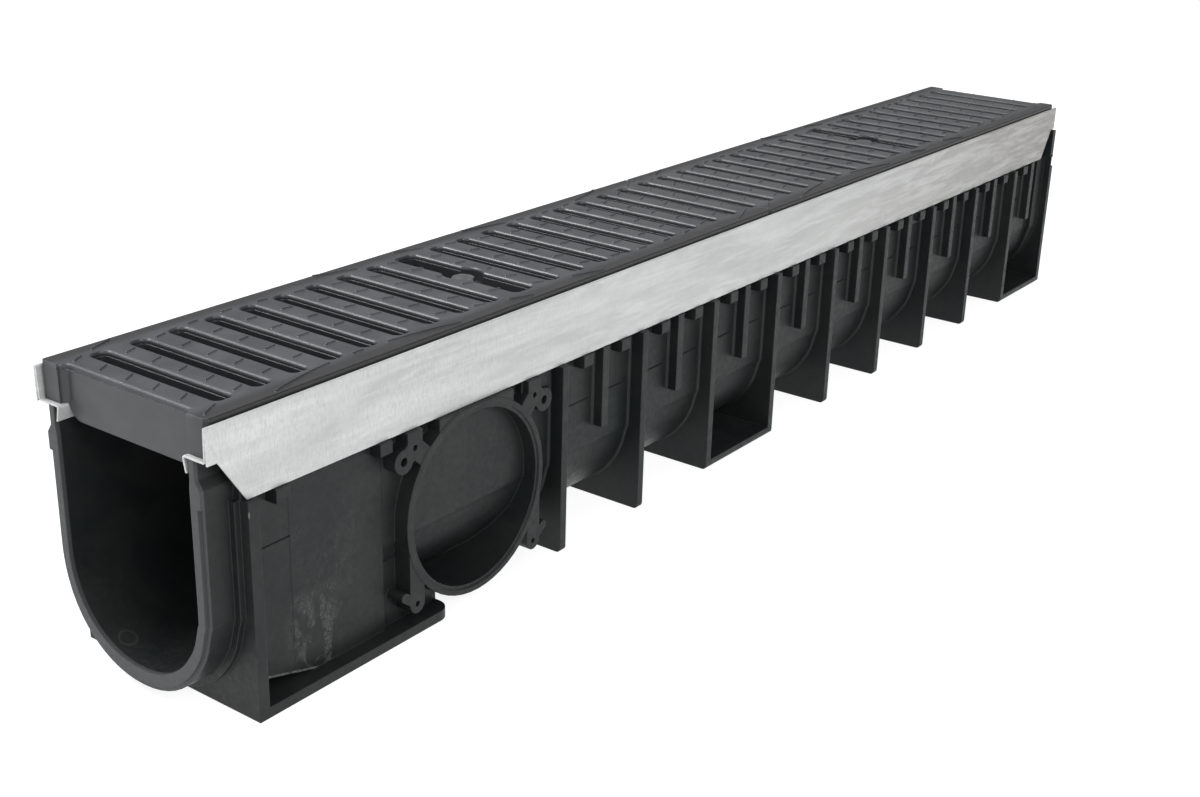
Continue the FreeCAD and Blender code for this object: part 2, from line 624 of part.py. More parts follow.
def skirt_cut(end):
    # The corner cut off the skirt at one end, where end is minus 1 or plus 1.
    y0 = RAIL_OUTSIDE - SHEET - LEAF_GAP_AT_SEAT / 2
    x_end = end * (HALF_LENGTH + OVERLAP)
    x_notch = end * (HALF_LENGTH - SKIRT_NOTCH_LENGTH)
    x_low = end * (HALF_LENGTH - SKIRT_CUT_LENGTH)
    corners = []
    corners.append(Vector(x_end, y0, SKIRT_NOTCH_Z))
    corners.append(Vector(x_notch, y0, SKIRT_NOTCH_Z))
    corners.append(Vector(x_low, y0, SKIRT_BOTTOM_Z))
    corners.append(Vector(x_low, y0, SKIRT_BOTTOM_Z - OVERLAP))
    corners.append(Vector(x_end, y0, SKIRT_BOTTOM_Z - OVERLAP))
    return polygon_prism(corners, Vector(0, SHEET + OVERLAP, 0))


def back_rail():
    rail = rail_profile(-HALF_LENGTH).extrude(Vector(CHANNEL_LENGTH, 0, 0))
    return rail.cut([skirt_cut(-1), skirt_cut(1)])


def rounded_outline(x, z, half_width, half_length, radius):
    # A rectangle with round corners around x, lying flat at height z.
    k = radius * (1 - math.sqrt(0.5))
    edges = []
    corners = []
    for sx, sy in ((1, 1), (-1, 1), (-1, -1), (1, -1)):
        cx = x + sx * half_width
        cy = sy * half_length
        on_y = (cx, cy - sy * radius, z)
        middle = (cx - sx * k, cy - sy * k, z)
        on_x = (cx - sx * radius, cy, z)
        first, last = (on_y, on_x) if sx * sy > 0 else (on_x, on_y)
        corners.append((first, last))
        edges.append(arc(first, middle, last))
    for index in range(4):
        edges.append(line(corners[index][1], corners[(index + 1) % 4][0]))
    return Part.Wire(Part.__sortEdges__(edges))


def slot_cutter(x, width, half_length):
    # A slot with round corners that widens at the top, where the bars' edges are rounded.
    half = width / 2
    low_z = CROSSBAR_BOTTOM_Z - OVERLAP
    ledge_z = GRATING_TOP_Z - LEDGE_DEPTH
    wires = []
    for depth, extra in EDGE_STEPS:
        z = GRATING_TOP_Z - depth
        length = half_length + extra * END_FLARE_SHARE
        wires.append(rounded_outline(x, z, half + extra, length, SLOT_CORNER + extra * END_FLARE_SHARE))
    first_z = GRATING_TOP_Z - EDGE_STEPS[0][0]
    low_half = half - LEDGE_WIDTH
    low_corner = SLOT_CORNER - LEDGE_WIDTH
    lower = Part.Face(rounded_outline(x, low_z, low_half, half_length - LEDGE_WIDTH, low_corner))
    lower = lower.extrude(Vector(0, 0, ledge_z - low_z + LEDGE_WIDTH))
    straight = Part.Face(rounded_outline(x, ledge_z, half, half_length, SLOT_CORNER))
    straight = straight.extrude(Vector(0, 0, first_z - ledge_z))
    flare = Part.makeLoft(wires, True, True)
    cap = Part.Face(wires[-1]).extrude(Vector(0, 0, OVERLAP))
    return [lower, straight, flare, cap]


def pocket_cutter(x):
    # The round pocket of the lock, with the same rounded upper edge as the slots.
    points = [Vector(x, 0, LOCK_FLOOR_Z)]
    points.append(Vector(x + LOCK_POCKET_RADIUS, 0, LOCK_FLOOR_Z))
    for depth, extra in EDGE_STEPS:
        points.append(Vector(x + LOCK_POCKET_RADIUS + extra, 0, GRATING_TOP_Z - depth))
    points.append(Vector(x + LOCK_POCKET_RADIUS + EDGE_STEPS[-1][1], 0, GRATING_TOP_Z + OVERLAP))
    points.append(Vector(x, 0, GRATING_TOP_Z + OVERLAP))
    return flat_face(points).revolve(Vector(x, 0, 0), Vector(0, 0, 1), 360)


def grating_blank(x0, x1):
    wide = GRATING_HALF_WIDTH
    low = GRATING_HALF_WIDTH - GRATING_DRAFT
    top = GRATING_TOP_Z
    edge = GRATING_EDGE
    half = []
    half.append((low - GRATING_FOOT_EDGE, SEAT_Z))
    half.append((low, SEAT_Z + GRATING_FOOT_EDGE))
    half.append((wide, RAIL_TOP_Z))
    half.append((wide, top - edge))
    half.append((wide - GRATING_EDGE_MID, top - GRATING_EDGE_MID))
    half.append((wide - edge, top))
    other = [(-y, z) for y, z in reversed(half)]
    frame = section_prism(half + other, x0, x1)
    cut = []
    for end_x, inward in ((x0, 1), (x1, -1)):
        for side in (-1, 1):
            z0 = SEAT_Z - OVERLAP
            far_x = end_x + inward * (GRATING_CORNER + OVERLAP)
            far_y = side * (wide + OVERLAP)
            corners = []
            corners.append(Vector(end_x - inward * OVERLAP, side * (wide - GRATING_CORNER - OVERLAP), z0))
            corners.append(Vector(far_x, far_y, z0))
            corners.append(Vector(end_x - inward * OVERLAP, far_y, z0))
            cut.append(polygon_prism(corners, Vector(0, 0, top - z0 + OVERLAP)))
    frame = frame.cut(cut)
    half_width = CROSSBAR_HALF_WIDTH
    lower = box(x0, x1, -half_width, half_width, CROSSBAR_BOTTOM_Z, SEAT_Z + 2 * OVERLAP)
    edges = []
    for edge_shape in lower.Edges:
        center = edge_shape.CenterOfMass
        on_side = abs(abs(center.y) - half_width) < NEAR
        if on_side and abs(center.z - CROSSBAR_BOTTOM_Z) < NEAR:
            edges.append(edge_shape)
    lower = lower.makeFillet(CROSSBAR_CORNER, edges)
    return frame.fuse(lower)


def flat_face(points):
    return Part.Face(Part.makePolygon(points + [points[0]]))


def slot_center(x0, index):
    # The middle of a slot, counted from the grating's start. The lock's slot is wider.
    x = x0 - SEAM_GAP / 2 + index * SLOT_PITCH
    if index == LOCK_PITCH_INDEX:
        return x + LOCK_SLOT_EXTRA / 2
    if index > LOCK_PITCH_INDEX:
        return x + LOCK_SLOT_EXTRA
    return x


def wave(along):
    # The place across of the middle wave at a distance from the grating's middle.
    half = (GRATING_LENGTH + SEAM_GAP) / 2
    if abs(along) < WAVE_CREST:
        return WAVE_LEVEL - WAVE_HEIGHT * math.sin(math.pi / 2 * along / WAVE_CREST)
    rest = (half - abs(along)) / (half - WAVE_CREST)
    height = WAVE_HEIGHT * math.sin(math.pi / 2 * rest) ** WAVE_FULLNESS
    return WAVE_LEVEL - math.copysign(height, along)


def grip_runs(x0):
    # Lists of points for the grip marks, which stop at the slots, the lock's pocket and the edges.
    widening = EDGE_STEPS[-1][1]
    limit = GRATING_HALF_WIDTH - GRIP_EDGE_INSET
    beyond_slots = SLOT_HALF_LENGTH + widening + GRIP_SLOT_MARGIN
    lock_x = slot_center(x0, LOCK_PITCH_INDEX)
    pocket = LOCK_POCKET_RADIUS + widening + GRIP_TAPER
    copies = math.ceil(2 * GRATING_HALF_WIDTH / GRIP_PITCH)
    runs = []
    for copy in range(-copies, copies + 1):
        run = []
        for bar in range(SLOT_PITCHES):
            start = slot_center(x0, bar)
            pitch = slot_center(x0, bar + 1) - start
            for step in range(GRIP_STEPS):
                x = start + step * SLOT_PITCH / GRIP_STEPS + (pitch - SLOT_PITCH) / 2
                y = wave(x - lock_x) + copy * GRIP_PITCH
                held = step in GRIP_STEPS_ON_BAR or abs(y) > beyond_slots
                in_pocket = math.hypot(x - lock_x, y) < pocket
                off_end = bar == 0 and step == 0
                if held and abs(y) < limit and not in_pocket and not off_end:
                    run.append((x, y))
                    continue
                if len(run) > 1:
                    runs.append(run)
                run = []
        if len(run) > 1:
            runs.append(run)
    return runs


def grip_ridge(points):
    # A low ridge with sloping sides and ends along a line of points.
    z0 = GRATING_TOP_Z - GRIP_SINK
    z1 = GRATING_TOP_Z + GRIP_HEIGHT
    half = GRIP_WIDTH / 2
    top_half = half - GRIP_TAPER
    top = list(points)
    for end, inner in ((0, 1), (-1, -2)):
        ex, ey = points[end]
        share = GRIP_TAPER / abs(points[inner][0] - ex)
        top[end] = (ex + share * (points[inner][0] - ex), ey + share * (points[inner][1] - ey))
    faces = []
    for z, line_points, width in ((z0, points, half), (z1, top, top_half)):
        outline = [Vector(x, y + width, z) for x, y in line_points]
        outline.extend(Vector(x, y - width, z) for x, y in reversed(line_points))
        faces.append(flat_face(outline))
    for index in range(len(points) - 1):
        for side in (-1, 1):
            corners = [Vector(x, y + side * half, z0) for x, y in points[index:index + 2]]
            corners.extend(Vector(x, y + side * top_half, z1) for x, y in reversed(top[index:index + 2]))
            faces.append(flat_face(corners))
    for end in (0, -1):
        x, y = points[end]
        tx, ty = top[end]
        corners = [Vector(x, y - half, z0), Vector(x, y + half, z0)]
        corners.extend([Vector(tx, ty + top_half, z1), Vector(tx, ty - top_half, z1)])
        faces.append(flat_face(corners))
    solid = Part.Solid(Part.Shell(faces))
    if solid.Volume < 0:
        solid.reverse()
    return solid


def grating(x0):
    x1 = x0 + GRATING_LENGTH
    lock_x = slot_center(x0, LOCK_PITCH_INDEX)
    cuts = [pocket_cutter(lock_x)]
    for index in range(SLOT_PITCHES + 1):
        width = SLOT_WIDTH
        if index == LOCK_PITCH_INDEX:
            width = LOCK_SLOT_WIDTH
        cuts.extend(slot_cutter(slot_center(x0, index), width, SLOT_HALF_LENGTH))
    shape = grating_blank(x0, x1).cut(cuts)
    floor_bottom = LOCK_FLOOR_Z - LOCK_FLOOR_THICKNESS
    solids = [cylinder_z(LOCK_RIM_RADIUS, lock_x, 0, floor_bottom, LOCK_FLOOR_Z)]
    for sign in (-1, 1):
        x = lock_x + sign * STOP_OFFSET
        y = sign * STOP_OFFSET
        solids.append(cylinder_z(STOP_RADIUS, x, y, STOP_BOTTOM_Z, CROSSBAR_BOTTOM_Z + OVERLAP))
    for run in grip_runs(x0):
        solids.append(grip_ridge(run))
    shape = shape.multiFuse(solids)
    radius = BOLT_RADIUS + PIVOT_CLEARANCE
    hole = cylinder_z(radius, lock_x, 0, floor_bottom - OVERLAP, LOCK_FLOOR_Z + OVERLAP)
    return shape.cut(hole).removeSplitter()


def hexagon(x, z0, height, chamfer_top):
    # A hexagonal prism whose top corners may be turned off at 30 degrees.
    radius = HEX_ACROSS_FLATS / math.sqrt(3)
    corners = []
    for step in range(6):
        angle = math.radians(60 * step + 30)
        corners.append(Vector(x + radius * math.cos(angle), radius * math.sin(angle), z0))
    prism = polygon_prism(corners, Vector(0, 0, height))
    if chamfer_top:
        top_radius = HEX_ACROSS_FLATS / 2
        low_radius = top_radius + height * math.sqrt(3)
        prism = prism.common(Part.makeCone(low_radius, top_radius, height, Vector(x, 0, z0)))
    return prism


def lock_bolt(x):
    head = hexagon(x, LOCK_FLOOR_Z, BOLT_HEAD_HEIGHT, True)
    low_z = LOCK_FLOOR_Z - BOLT_LENGTH
    shank = cylinder_z(BOLT_RADIUS, x, 0, low_z, LOCK_FLOOR_Z + OVERLAP)
    low = [edge for edge in shank.Edges if abs(edge.CenterOfMass.z - low_z) < NEAR]
    shank = shank.makeChamfer(BOLT_END_CHAMFER, low)
    return head.fuse(shank).removeSplitter()


def lock_bar(x):
    z0 = LOCK_BAR_TOP_Z - LOCK_BAR_THICKNESS
    disc = cylinder_z(LOCK_BAR_RADIUS, x, 0, z0, LOCK_BAR_TOP_Z)
    half = LOCK_BAR_HALF_WIDTH
    reach = LOCK_BAR_RADIUS + OVERLAP
    strip = box(x - half, x + half, -reach, reach, z0, LOCK_BAR_TOP_Z)
    hole = cylinder_z(BOLT_RADIUS + HOLE_CLEARANCE, x, 0, z0 - OVERLAP, LOCK_BAR_TOP_Z + OVERLAP)
    return disc.common(strip).cut(hole)


def lock_washer(x):
    z1 = LOCK_BAR_TOP_Z - LOCK_BAR_THICKNESS
    z0 = z1 - WASHER_THICKNESS
    disc = cylinder_z(WASHER_RADIUS, x, 0, z0, z1)
    return disc.cut(cylinder_z(BOLT_RADIUS + HOLE_CLEARANCE, x, 0, z0 - OVERLAP, z1 + OVERLAP))


def lock_nut(x):
    z1 = LOCK_BAR_TOP_Z - LOCK_BAR_THICKNESS - WASHER_THICKNESS
    z0 = z1 - NUT_HEIGHT
    nut = hexagon(x, z0, NUT_HEIGHT, False)
    return nut.cut(cylinder_z(BOLT_RADIUS + THREAD_CLEARANCE, x, 0, z0 - OVERLAP, z1 + OVERLAP))


def save(name, shape):
    if shape.ShapeType != "Solid" and len(shape.Solids) == 1:
        shape = shape.Solids[0]
    print(name, "solids", len(shape.Solids), "valid", shape.isValid(), "mm3", round(shape.Volume))
    shape.exportStep("parts/" + name + ".step")


os.makedirs("parts", exist_ok=True)

save("channel_body", channel_body())
rail = back_rail()
save("back_edge_rail", rail)
save("front_edge_rail", mirror_y(rail))

near_start = -HALF_LENGTH + GRATING_END_INSET
far_start = SEAM_GAP / 2
save("grating_near", grating(near_start))
save("grating_far", grating(far_start))

for prefix, start in (("near_lock", near_start), ("far_lock", far_start)):
    lock_x = slot_center(start, LOCK_PITCH_INDEX)
    save(prefix + "_bolt", lock_bolt(lock_x))
    save(prefix + "_washer", lock_washer(lock_x))
    save(prefix + "_bar", lock_bar(lock_x))
    save(prefix + "_nut", lock_nut(lock_x))
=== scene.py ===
import bpy
import json
from mathutils import Matrix, Vector

# Looks for the channel drain: materials, floor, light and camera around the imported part.
# Lengths are in metres. X runs from the near end to the far end, and Z is up.

# The outputs of a separated point
X = 0
Y = 1
Z = 2

# Where the painted highlight on the trough's near rim comes in
RIM_HIGHLIGHT_X = (-0.4972, -0.4982)
# The near panel's front, as its range across and upward
PANEL_FRONT_Y = (-0.0585, -0.0570)
PANEL_FRONT_Z = (0.0065, 0.12)
# Fields of scratches on that panel: the range along it, the range upward, and how far
# each fades out along and upward
PATCH_FIELD = ((-0.441, -0.422), (0.010, 0.040), 0.014, 0.020)
UPPER_FIELD = ((-0.432, -0.408), (0.050, 0.086), 0.020, 0.020)
STREAK_FIELD = ((-0.4240, -0.4222), (0.008, 0.032), 0.0026, 0.010)
# The slanting scratch: its normal, how far it lies from the origin against that normal,
# and its range along the panel
SCRATCH_NORMAL = (0.265, 0.0, 0.964)
SCRATCH_LEVEL = 0.1084
SCRATCH_X = (-0.470, -0.430)
# The nick on the near plate's edge, and the ring on the trough's floor
NICK_PLACE = (-0.480, -0.0675, 0.115)
FLOOR_RING_PLACE = (-0.4890, 0.0225, 0.0165)
FLOOR_RING_RADIUS = 0.0052

# Where the gratings' margins darken, and where their side and end faces begin
MARGIN_Y = (0.0485, 0.0565)
SIDE_FACE_Y = (0.0608, 0.0611)
END_ZONE_X = 0.4900
END_FACE_X = (0.4900, 0.4904)
# Heights between which the gratings' darker side faces, the painted shade on the slots' walls and
# end faces, and the painted highlight on the top edges come in
SIDE_FACE_Z = (0.150, 0.160)
SLOT_SHADE_Z = (0.1671, 0.1659)
END_SHADE_Z = (0.1672, 0.1660)
TOP_HIGHLIGHT_Z = (0.1660, 0.1668)

# Where the rails' painted shade darkens them toward the far end, and where their upright marks
# fade out
RAIL_SHADE_X = (-0.1, 0.5)
RAIL_MARKS_X = (-0.34, -0.12)

# Colours of the trough's plastic, with painted highlights on the near rim and along the edges
TROUGH_DARK = (0.0086, 0.0116, 0.0125)
TROUGH_PALE = (0.0166, 0.0175, 0.0171)
RIM_HIGHLIGHT_COLOR = (0.060, 0.063, 0.065)
TROUGH_EDGE_HIGHLIGHT = (0.065, 0.068, 0.070)
SCRATCH_COLOR = (0.36, 0.36, 0.35)

# Colours of the gratings, with painted shade on the slots' walls and end faces and a painted
# highlight on the bars' top edges
GRATING_DARK = (0.043, 0.045, 0.050)
GRATING_PALE = (0.064, 0.066, 0.071)
MARGIN_COLOR = (0.020, 0.020, 0.021)
SIDE_COLOR = (0.012, 0.011, 0.010)
SLOT_WALL_SHADE = (0.016, 0.017, 0.019)
END_FACE_SHADE = (0.020, 0.021, 0.024)
BAR_EDGE_HIGHLIGHT = (0.200, 0.208, 0.232)

# Colours of the zinc-coated rails, with their painted shade toward the far end and painted edge
# highlight
RAIL_NEAR = (0.550, 0.563, 0.555)
RAIL_FAR_SHADE = (0.285, 0.275, 0.262)
RAIL_CLOUD = (0.37, 0.38, 0.385)
RAIL_SMEAR = (0.74, 0.75, 0.75)
RAIL_BLOOM = (0.70, 0.71, 0.71)
RAIL_STREAK = (0.36, 0.37, 0.37)
RAIL_EDGE_HIGHLIGHT = (0.85, 0.86, 0.86)

# Colours of the locks, with their painted edge highlight
LOCK_DARK = (0.105, 0.110, 0.115)
LOCK_PALE = (0.170, 0.172, 0.170)
LOCK_EDGE_HIGHLIGHT = (0.34, 0.35, 0.36)

# The floor's half size, and how far it lies below the feet
FLOOR_HALF_SIZE = 14.0
FLOOR_DROP = 0.0004


def new_material(name):
    material = bpy.data.materials.new(name)
    material.use_nodes = True
    tree = material.node_tree
    tree.nodes.clear()
    output = tree.nodes.new("ShaderNodeOutputMaterial")
    shader = tree.nodes.new("ShaderNodeBsdfPrincipled")
    tree.links.new(shader.outputs["BSDF"], output.inputs["Surface"])
    return material, tree, shader


def add(tree, kind, settings=None, values=None):
    # A node with some of its settings and input values.
    node = tree.nodes.new(kind)
    for key, value in (settings or {}).items():
        setattr(node, key, value)
    for key, value in (values or {}).items():
        node.inputs[key].default_value = value
    return node


def math_node(tree, operation, a, b=0.5):
    node = add(tree, "ShaderNodeMath", {"operation": operation})
    for socket, value in zip(node.inputs, (a, b)):
        if isinstance(value, (int, float)):
            socket.default_value = value
        else:
            tree.links.new(value, socket)
    return node.outputs[0]


def multiply(tree, *factors):
    product = factors[0]
    for factor in factors[1:]:
        product = math_node(tree, "MULTIPLY", product, factor)
    return product


def object_point(tree):
    return add(tree, "ShaderNodeTexCoord").outputs["Object"]


def noise(tree, scale, stretch=(1, 1, 1), detail=4.0, roughness=0.5, distortion=0.0):
    # Noise in the piece's own space. The scale is in features per metre.
    mapping = add(tree, "ShaderNodeMapping", values={"Scale": stretch})
    tree.links.new(object_point(tree), mapping.inputs["Vector"])
    values = {"Scale": scale, "Detail": detail, "Roughness": roughness, "Distortion": distortion}
    node = add(tree, "ShaderNodeTexNoise", values=values)
    tree.links.new(mapping.outputs["Vector"], node.inputs["Vector"])
    return node.outputs["Fac"]


def spread(tree, value, low, high, to_low=0.0, to_high=1.0):
    # A smooth step between two levels of a value.
    values = {"From Min": low, "From Max": high, "To Min": to_low, "To Max": to_high}
    node = add(tree, "ShaderNodeMapRange", {"interpolation_type": "SMOOTHSTEP"}, values)
    tree.links.new(value, node.inputs["Value"])
    return node.outputs["Result"]


def blend_colors(tree, factor, first, second):
    # The sockets are the factor and the two colours of a mix.
    node = add(tree, "ShaderNodeMix", {"data_type": "RGBA"})
    for place, value in ((0, factor), (6, first), (7, second)):
        socket = node.inputs[place]
        if isinstance(value, tuple):
            socket.default_value = value + (1.0,)
        elif isinstance(value, (int, float)):
            socket.default_value = value
        else:
            tree.links.new(value, socket)
    return node.outputs[2]


def axis_value(tree, axis):
    node = add(tree, "ShaderNodeSeparateXYZ")
    tree.links.new(object_point(tree), node.inputs[0])
    return node.outputs[axis]


def distance_to(tree, place, stretch):
    # The distance to a point, with each axis counted by its own factor.
    away = add(tree, "ShaderNodeVectorMath", {"operation": "SUBTRACT"})
    tree.links.new(object_point(tree), away.inputs[0])
    away.inputs[1].default_value = place
    scaled = add(tree, "ShaderNodeVectorMath", {"operation": "MULTIPLY"})
    tree.links.new(away.outputs["Vector"], scaled.inputs[0])
    scaled.inputs[1].default_value = stretch
    length = add(tree, "ShaderNodeVectorMath", {"operation": "LENGTH"})
    tree.links.new(scaled.outputs["Vector"], length.inputs[0])
    return length.outputs["Value"]


def within(tree, axis, low, high, soft):
    # One between low and high along an axis, falling to nothing over the soft distance.
    value = axis_value(tree, axis)
    rise = spread(tree, value, low - soft, low)
    fall = spread(tree, value, high, high + soft, 1.0, 0.0)
    return multiply(tree, rise, fall)


def surface_normal(tree, shader, radius, height, strength, distance):
    # Slightly rounded edges with a fine grain over them.
    bevel = add(tree, "ShaderNodeBevel", {"samples": 4}, {"Radius": radius})
    bump = add(tree, "ShaderNodeBump", values={"Strength": strength, "Distance": distance})
    tree.links.new(height, bump.inputs["Height"])
    tree.links.new(bevel.outputs["Normal"], bump.inputs["Normal"])
    tree.links.new(bump.outputs["Normal"], shader.inputs["Normal"])


def edge_mask(tree, radius):
    # Bright where a surface bends sharply.
    bevel = add(tree, "ShaderNodeBevel", {"samples": 4}, {"Radius": radius})
    geometry = add(tree, "ShaderNodeNewGeometry")
    dot = add(tree, "ShaderNodeVectorMath", {"operation": "DOT_PRODUCT"})
    tree.links.new(bevel.outputs["Normal"], dot.inputs[0])
    tree.links.new(geometry.outputs["Normal"], dot.inputs[1])
    return spread(tree, dot.outputs["Value"], 0.985, 0.75)


def patch_mask(tree, x_range, z_range, soft_x, soft_z):
    # A soft-edged field on the near panel.
    along = within(tree, X, *x_range, soft_x)
    return multiply(tree, along, within(tree, Z, *z_range, soft_z))


def slanting_scratch(tree):
    # A thin broken line across the panel.
    slope = add(tree, "ShaderNodeVectorMath", {"operation": "DOT_PRODUCT"})
    tree.links.new(object_point(tree), slope.inputs[0])
    slope.inputs[1].default_value = SCRATCH_NORMAL
    level = math_node(tree, "ADD", slope.outputs["Value"], SCRATCH_LEVEL)
    line = spread(tree, math_node(tree, "ABSOLUTE", level), 0.0003, 0.0009, 1.0, 0.0)
    line = multiply(tree, line, within(tree, X, *SCRATCH_X, 0.006))
    broken = noise(tree, 1, stretch=(260, 60, 60), detail=4, roughness=0.7)
    return multiply(tree, line, spread(tree, broken, 0.34, 0.60, 0.1, 1.0))


def panel_scuffs(tree):
    # Pale scratches low on the near panel: two patches, a broken upright streak and a
    # slanting one.
    front = within(tree, Y, *PANEL_FRONT_Y, 0.0003)
    front = multiply(tree, front, within(tree, Z, *PANEL_FRONT_Z, 0.0005))
    patch = patch_mask(tree, *PATCH_FIELD)
    upper = patch_mask(tree, *UPPER_FIELD)
    streak = patch_mask(tree, *STREAK_FIELD)
    marks = noise(tree, 1, stretch=(620, 60, 170), detail=7, roughness=0.78, distortion=3.2)
    islands = noise(tree, 1, stretch=(95, 60, 70), detail=3, distortion=1.0)
    islands = spread(tree, islands, 0.40, 0.62)
    patch = multiply(tree, patch, islands, spread(tree, marks, 0.44, 0.66))
    upper = multiply(tree, upper, islands, spread(tree, marks, 0.48, 0.70), 0.45)
    ticks = noise(tree, 1, stretch=(420, 60, 330), detail=7, roughness=0.8, distortion=2.5)
    streak = multiply(tree, streak, spread(tree, ticks, 0.46, 0.64))
    total = patch
    for mark in (upper, streak, slanting_scratch(tree)):
        total = math_node(tree, "MAXIMUM", total, mark)
    return multiply(tree, total, front, 0.34)


def small_marks(tree):
    # A pale nick on the near plate's edge and a faint ring on the trough's floor.
    spot = distance_to(tree, NICK_PLACE, (1, 1, 0.35))
    nick = multiply(tree, spread(tree, spot, 0.0003, 0.0008, 1.0, 0.0), 0.35)
    ring = distance_to(tree, FLOOR_RING_PLACE, (1, 1, 0.6))
    off_ring = math_node(tree, "ABSOLUTE", math_node(tree, "SUBTRACT", ring, FLOOR_RING_RADIUS))
    faint = multiply(tree, spread(tree, off_ring, 0.0002, 0.0009, 1.0, 0.0), 0.035)
    return math_node(tree, "MAXIMUM", nick, faint)


def trough_plastic():
    # Black moulded plastic, satin, with faint flow marks, a painted highlight on the near rim,
    # painted highlights along its edges, and scuffs.
    material, tree, shader = new_material("trough_plastic")
    clouds = noise(tree, 22, detail=5, roughness=0.6, distortion=0.4)
    share = spread(tree, clouds, 0.35, 0.68)
    color = blend_colors(tree, share, TROUGH_DARK, TROUGH_PALE)
    # Painted highlight: the near rim's front is made paler.
    rim_highlight = spread(tree, axis_value(tree, X), *RIM_HIGHLIGHT_X, 0.0, 0.85)
    color = blend_colors(tree, rim_highlight, color, RIM_HIGHLIGHT_COLOR)
    # Painted highlight along the edges.
    edge_highlight = multiply(tree, edge_mask(tree, 0.0007), 0.45)
    color = blend_colors(tree, edge_highlight, color, TROUGH_EDGE_HIGHLIGHT)
    scuffs = math_node(tree, "MAXIMUM", panel_scuffs(tree), small_marks(tree))
    color = blend_colors(tree, scuffs, color, SCRATCH_COLOR)
    tree.links.new(color, shader.inputs["Base Color"])
    fine = noise(tree, 260, detail=3)
    tree.links.new(spread(tree, fine, 0.3, 0.7, 0.40, 0.54), shader.inputs["Roughness"])
    shader.inputs["Specular IOR Level"].default_value = 0.28
    grain = noise(tree, 1500, detail=2)
    surface_normal(tree, shader, 0.0009, grain, 0.12, 0.0002)
    return material


def grating_plastic():
    # Dark blue-grey reinforced plastic with a soft gloss, darker along its outer edges, with
    # painted shade in the slots and on the end faces and a painted highlight along the bars' top
    # edges.
    material, tree, shader = new_material("grating_plastic")
    clouds = noise(tree, 40, detail=5, roughness=0.6)
    share = spread(tree, clouds, 0.35, 0.68)
    color = blend_colors(tree, share, GRATING_DARK, GRATING_PALE)
    across = math_node(tree, "ABSOLUTE", axis_value(tree, Y))
    height = axis_value(tree, Z)
    margin = multiply(tree, spread(tree, across, *MARGIN_Y), 0.85)
    color = blend_colors(tree, margin, color, MARGIN_COLOR)
    side = spread(tree, across, *SIDE_FACE_Y)
    side = multiply(tree, side, spread(tree, height, *SIDE_FACE_Z), 0.9)
    color = blend_colors(tree, side, color, SIDE_COLOR)
    # Painted shade: the slots' walls and the end faces are darker than the top.
    inner = within(tree, X, -END_ZONE_X, END_ZONE_X, 0.0004)
    slot_shade = spread(tree, height, *SLOT_SHADE_Z)
    color = blend_colors(tree, multiply(tree, slot_shade, inner, 0.78), color, SLOT_WALL_SHADE)
    # Painted shade on the gratings' end faces.
    along = math_node(tree, "ABSOLUTE", axis_value(tree, X))
    end_shade = spread(tree, along, *END_FACE_X)
    end_shade = multiply(tree, end_shade, spread(tree, height, *END_SHADE_Z), 0.62)
    color = blend_colors(tree, end_shade, color, END_FACE_SHADE)
    # Painted highlight along the bars' top edges.
    edge_highlight = multiply(tree, edge_mask(tree, 0.0006), spread(tree, height, *TOP_HIGHLIGHT_Z), 0.60)
    color = blend_colors(tree, edge_highlight, color, BAR_EDGE_HIGHLIGHT)
    tree.links.new(color, shader.inputs["Base Color"])
    fine = noise(tree, 180, stretch=(1, 0.35, 1), detail=4)
    tree.links.new(spread(tree, fine, 0.3, 0.7, 0.31, 0.41), shader.inputs["Roughness"])
    shader.inputs["Specular IOR Level"].default_value = 0.48
    grain = noise(tree, 1400, detail=2)
    surface_normal(tree, shader, 0.0005, grain, 0.10, 0.0002)
    return material


def galvanised_sheet():
    # Zinc-coated sheet, pale, with painted shade darkening it toward the far end, fine upright
    # marks near one end, soft clouds elsewhere and a painted highlight along its edges.
    material, tree, shader = new_material("galvanised_sheet")
    # Painted shade: the sheet darkens toward the far end.
    along = spread(tree, axis_value(tree, X), *RAIL_SHADE_X)
    color = blend_colors(tree, along, RAIL_NEAR, RAIL_FAR_SHADE)
    clouds = noise(tree, 11, stretch=(0.6, 1, 3.0), detail=6, roughness=0.66, distortion=0.8)
    share = multiply(tree, spread(tree, clouds, 0.38, 0.64), 0.48)
    color = blend_colors(tree, share, color, RAIL_CLOUD)
    smears = noise(tree, 1, stretch=(16, 40, 170), detail=5, roughness=0.65, distortion=0.5)
    share = multiply(tree, spread(tree, smears, 0.42, 0.66), 0.34)
    color = blend_colors(tree, share, color, RAIL_SMEAR)
    bloom = noise(tree, 75, detail=4, roughness=0.7, distortion=0.8)
    share = multiply(tree, spread(tree, bloom, 0.54, 0.76), 0.25)
    color = blend_colors(tree, share, color, RAIL_BLOOM)
    streaks = noise(tree, 1, stretch=(1500, 40, 330), detail=3, roughness=0.6)
    near = spread(tree, axis_value(tree, X), *RAIL_MARKS_X, 1.0, 0.18)
    share = multiply(tree, spread(tree, streaks, 0.44, 0.66), near, 0.36)
    color = blend_colors(tree, share, color, RAIL_STREAK)
    # Painted highlight along the sheet's edges.
    rail_edge_highlight = multiply(tree, edge_mask(tree, 0.0004), 0.5)
    color = blend_colors(tree, rail_edge_highlight, color, RAIL_EDGE_HIGHLIGHT)
    tree.links.new(color, shader.inputs["Base Color"])
    tree.links.new(spread(tree, bloom, 0.3, 0.7, 0.40, 0.56), shader.inputs["Roughness"])
    shader.inputs["Metallic"].default_value = 0.35
    surface_normal(tree, shader, 0.0003, streaks, 0.12, 0.0003)
    return material


